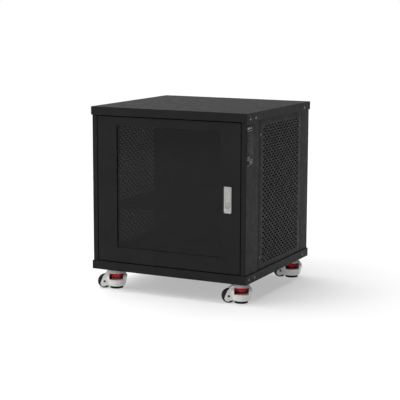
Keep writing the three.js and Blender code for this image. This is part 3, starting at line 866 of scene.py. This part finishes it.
def casting():
    """The housing: a round boss round the foot, an arm that forks over the wheel, and the window."""
    profile = [(0, 9), (28.6, 9), (31.2, 12), (38.5, 41), (38.5, 46.5), (27, 62.3), (23.5, 65.4),
               (0, 65.4)]
    boss = moved(turned(eased(profile, 5), 96), Matrix.Translation((FOOT_X, 0, 0)))
    lug = arc(-34.5, 17.4, 11.2, 166, 318, 20)
    outline = eased([(FOOT_X, 62), (-20, 62.5), (-36.5, 44)], 6) + lug + [(-20, 10), (FOOT_X, 10)]
    arm = moved(prism(outline, -CHEEK_HALF, CHEEK_HALF), standing(way=-1))
    across = facing((0, 1, 0), (WHEEL_X, 0, WHEEL_RADIUS))

    def bar(radius, half):
        return moved(rod(radius, -half, half), across)

    def over_foot(radius, low, high):
        return moved(rod(radius, low, high), Matrix.Translation((FOOT_X, 0, 0)))

    wheel_well, axle_hole = bar(WHEEL_RADIUS + 2, WHEEL_HALF + 0.7), bar(4.3, 20)
    window = brick((FOOT_X - 25, -45, 33.6), (FOOT_X + 25, 25.5, 55.6))
    stem_bore, pad_recess = over_foot(5.9, 8, 57.2), over_foot(24.9, 4, 15.4)
    king_pin_bore = rod(5.5, 57.4, 70)
    body = carved(carved(boss, arm, how="UNION"), wheel_well, window, stem_bore, pad_recess, king_pin_bore,
                  axle_hole)
    return cast(body, grain=0.55, rounds=4, keep=0.22)


def wheel():
    """A nylon wheel with a crowned tread, dished faces and a raised hub."""
    half = WHEEL_HALF
    side = [(4.3, -half), (7.5, -half), (8.2, -half + 0.8), (9, -half + 2.5), (17, -half + 2.5),
            (18.5, -half + 0.6), (20.5, -half), (22.5, -half + 0.4), (24.2, -half + 2.4),
            (24.85, -half + 5), (25, -1.2), (24.7, -0.9), (24.7, 0)]
    profile = side + [(radius, -y) for radius, y in reversed(side[:-1])]
    return turned(profile, 72, closed=True)


def toothed(teeth, tip, root, low, high):
    """A wheel of rounded teeth about Z."""
    points = []
    for tooth in range(teeth):
        for share, radius in ((0.04, tip), (0.46, tip), (0.54, root), (0.96, root)):
            angle = (tooth + share) / teeth * math.tau
            points.append((radius * math.cos(angle), radius * math.sin(angle)))
    return prism(eased(points, 1.1, 3, closed=True), low, high)


def thumbwheel():
    """The red nut: a wide hand wheel over a narrower gear, threaded on the stem."""
    bore = rod(5.75, 30, 55, 48)
    grip = softened(toothed(10, 22.4, 19.4, 42, 50), 0.7)
    gear = softened(toothed(8, 15.9, 12.9, 34.3, 42.6), 0.5)
    return carved(carved(grip, gear, how="UNION"), bore)


def threaded_stem():
    """A rod with a 2 mm thread, chamfered at its top."""
    tip, root, pitch, steps, around = 5.5, 4.75, 2.0, 6, 28
    low, high = 4.4, 53.9
    bm = bmesh.new()
    rings = []
    count = int((high - low) / pitch * steps)
    for level in range(count + 1):
        z = low + (high - low) * level / count
        ring = []
        for k in range(around):
            turn = k / around
            phase = (z / pitch - turn) % 1
            radius = root + (tip - root) * (1 - abs(2 * phase - 1))
            radius = min(radius, tip - max(0, z - (high - 1.5)))
            angle = turn * math.tau
            ring.append(bm.verts.new((radius * math.cos(angle), radius * math.sin(angle), z)))
        rings.append(ring)
    for lower, upper in zip(rings, rings[1:]):
        for k in range(around):
            n = (k + 1) % around
            bm.faces.new((lower[k], lower[n], upper[n], upper[k]))
    bm.faces.new(reversed(rings[0]))
    bm.faces.new(rings[-1])
    return bm


def pad():
    """The rubber foot: a ribbed edge, a ringed sole and a socket on top for the stem."""
    sole = [(0, 1.2), (5, 1.2), (5.6, 0), (8.4, 0), (9, 1.0), (11.4, 1.0), (12, 0), (15, 0), (15.6, 1.0),
            (18, 1.0), (18.6, 0), (22.2, 0), (23.3, 0.9), (23.5, 1.8), (23.0, 2.4), (23.5, 3.0),
            (23.5, 4.4), (22.6, 5.4), (14.4, 11.6), (13.4, 12), (5.9, 12), (5.9, 4.2), (0, 4.2)]
    return turned(sole, 72)


def axle():
    """A riveted axle: a plain rod with rounded ends."""
    half = CHEEK_HALF - 1
    return turned([(0, -half), (2.6, -half), (3.4, -half + 0.3), (4, -half + 1), (4, half - 1),
                   (3.4, half - 0.3), (2.6, half), (0, half)], 32)


def mounting_plate():
    """The plate with its four bolts, the ball race under it and the king pin."""
    low, high = 71.7, 74.7
    plate = softened(prism(rounded_rectangle(-29, 29, -29, 29, 5), low, high), 0.5)
    race = turned([(0, 66.2), (17.4, 66.2), (18.6, 65.8), (20.4, 66.1), (21, 66.8), (21, 67.9), (19.6, 68.5),
                   (19.6, 69.1), (21, 69.7), (21, 71.2), (20.5, 71.8), (0, 71.8)], 72)
    pin = turned([(0, 58), (4.3, 58), (5, 58.7), (5, 67), (0, 67)], 32)
    parts = [plate, race, pin]
    balls = 30
    for ball in range(balls):
        turn = ball / balls * math.tau
        sphere = bmesh.new()
        bmesh.ops.create_uvsphere(sphere, u_segments=12, v_segments=8, radius=1.15)
        parts.append(moved(sphere, Matrix.Translation((19.7 * math.cos(turn), 19.7 * math.sin(turn), 68.8))))
    hexagon = [(5 * math.cos(k * math.pi / 3), 5 * math.sin(k * math.pi / 3)) for k in range(6)]
    for x in (-22.5, 22.5):
        for y in (-22.5, 22.5):
            head = softened(prism(hexagon, low - 3.6, low + 0.1), 0.4)
            nut = softened(prism(hexagon, 76.5, 80.7), 0.4)
            end = turned([(0, 76.4), (3, 76.4), (3, 82.4), (2.4, 83), (0, 83)], 24)
            parts += [moved(piece, Matrix.Translation((x, y, 0))) for piece in (head, nut, end)]
    return gathered(parts)


def casters():
    """Four casters that share their meshes."""
    made = {
        "casting": (casting(), ENAMEL, False), "tyre": (wheel(), NYLON, True),
        "hand_wheel": (thumbwheel(), RED, True), "thread": (threaded_stem(), ZINC, False),
        "sole": (pad(), RUBBER, False), "axle_pin": (axle(), AXLE, False),
        "plate": (mounting_plate(), ZINC, True),
    }
    meshes = {name: mesh_of(f"caster_{name}", bm, finish, crisp)
              for name, (bm, finish, crisp) in made.items()}
    for corner in CORNERS:
        low, high = span(f"{corner}_caster_plate")
        across = JOINTS[f"{corner}_wheel_spin"]["axis"]
        heading = math.atan2(-across[0], across[1])
        swivel = Matrix.Translation(((low.x + high.x) / 2 * MM, (low.y + high.y) / 2 * MM, 0))
        turned_to = swivel @ Matrix.Rotation(heading, 4, "Z")
        foot = turned_to @ Matrix.Translation((FOOT_X * MM, 0, 0))
        wheel_place = turned_to @ facing((0, 1, 0), (WHEEL_X * MM, 0, WHEEL_RADIUS * MM))

        def fit(name, body, node, place):
            finish = made[name][1]
            show(f"{corner}_{name}", None, finish, body, [f"{corner}_{node}"], place, meshes[name])

        fit("plate", "cabinet", "caster_plate", swivel)
        fit("casting", f"{corner}_caster", "caster_housing", turned_to)
        fit("axle_pin", f"{corner}_caster", "caster_axle", wheel_place)
        fit("tyre", f"{corner}_wheel", "caster_wheel", wheel_place)
        fit("hand_wheel", f"{corner}_thumbwheel", "thumbwheel", foot)
        fit("thread", f"{corner}_foot", "foot_stem", foot)
        fit("sole", f"{corner}_foot", "foot_pad", foot)


# ---- fasteners and the label -----------------------------------------------------------------
def screw(radius, height):
    """A truss-head screw with a cross recess, standing on z = 0."""
    turns = [math.radians(angle) for angle in range(0, 91, 10)]
    dome = [(radius * math.sin(turn), height * math.cos(turn)) for turn in turns]
    head = turned([(0, -0.5), (radius, -0.5), *dome[::-1]], 48)
    arm, thick = radius * 0.55, radius * 0.17
    cross = [brick((-arm, -thick, height * 0.35), (arm, thick, height + 1)),
             brick((-thick, -arm, height * 0.35), (thick, arm, height + 1))]
    return carved(head, *cross)


def screw_group(name, radius, height, places):
    """Several screws as one piece on the cabinet; places are pairs of a point and the way the head looks."""
    pattern = screw(radius, height)
    spin = random.Random(name)
    heads = [moved(pattern.copy(), facing(out, at) @ Matrix.Rotation(spin.uniform(0, math.pi / 2), 4, "Z"))
             for at, out in places]
    pattern.free()
    show(name, gathered(heads), SCREW, "cabinet", crisp=True)


def fasteners():
    """Rim screws at each post, panel screws, and the shelf's screws on the rails."""
    cover, tray = span("top_cover"), span("base_tray")
    rim_levels = cover[0].z + 11, tray[1].z - 14
    rim_places = -254, -208, 226               # along Y: a pair at the front post and one at the rear post
    panel_levels, panel_places = (575, 150), (-160, 190)
    for side, sign in (("left", -1), ("right", 1)):
        rim = sign * cover[1].x
        places = [((rim, y, z), (sign, 0, 0)) for z in rim_levels for y in rim_places]
        screw_group(f"{side}_rim_screws", 5.2, 1.9, places)
        panel = span(f"{side}_side_panel")
        face = panel[1].x if sign > 0 else panel[0].x
        places = [((face, y, z), (sign, 0, 0)) for z in panel_levels for y in panel_places]
        screw_group(f"{side}_panel_screws", 4.2, 1.9, places)
    low, high = span("equipment_shelf")
    for end, y, out in (("front", low.y, -1), ("rear", high.y, 1)):
        places = [((sign * RACK_CENTRES / 2, y, z), (0, out, 0)) for sign in (-1, 1)
                  for z in (low.z + 6, high.z - 6)]
        screw_group(f"{end}_shelf_screws", 4.6, 2.2, places)


def label():
    """A dark film on the front right post, printed with plain bars and blocks."""
    place = standing_aside(span("front_right_post")[1].x)
    left, right, bottom, top = -275, -220, 474, 615.5
    film = softened(prism(rounded_rectangle(left, right, bottom, top, 3), 0.02, 0.2), 0.05)
    show("post_label_film", moved(film, place), FILM, "cabinet")
    marks = []

    def mark(x0, x1, z0, z1):
        marks.append(brick((left + x0, bottom + z0, 0.2), (left + x1, bottom + z1, 0.24)))

    mark(5, 24, 126, 134)
    mark(28, 42, 127, 133)
    mark(5, 45, 119.5, 121.5)
    spread = random.Random(5)
    for line in range(17):
        z = 113 - line * 4.4
        x = 5.0
        while x < 46:
            length = spread.uniform(3, 11)
            mark(x, min(x + length, 50), z, z + 0.45)
            x += length + 3
    for x0, x1, z0, z1 in ((5, 25, 22, 35), (23, 46, 8, 24)):
        mark(x0, x1, z1 - 1.6, z1)
        mark(x0, x1, z0, z0 + 1.6)
        mark(x0, x0 + 1.6, z0 + 1.6, z1 - 1.6)
        mark(x1 - 1.6, x1, z0 + 1.6, z1 - 1.6)
        mark(x0 + 5, x1 - 5, z0 + 4.5, z1 - 4.5)
    mark(6, 18, 4, 6)
    show("post_label_marks", moved(gathered(marks), place), INK, "cabinet")


build_stage()
carcass()
cable_brush()
door_strip()
side_panels()
mounting_rails()
shelf()
doors()
latch()
rear_lock()
casters()
fasteners()
label()
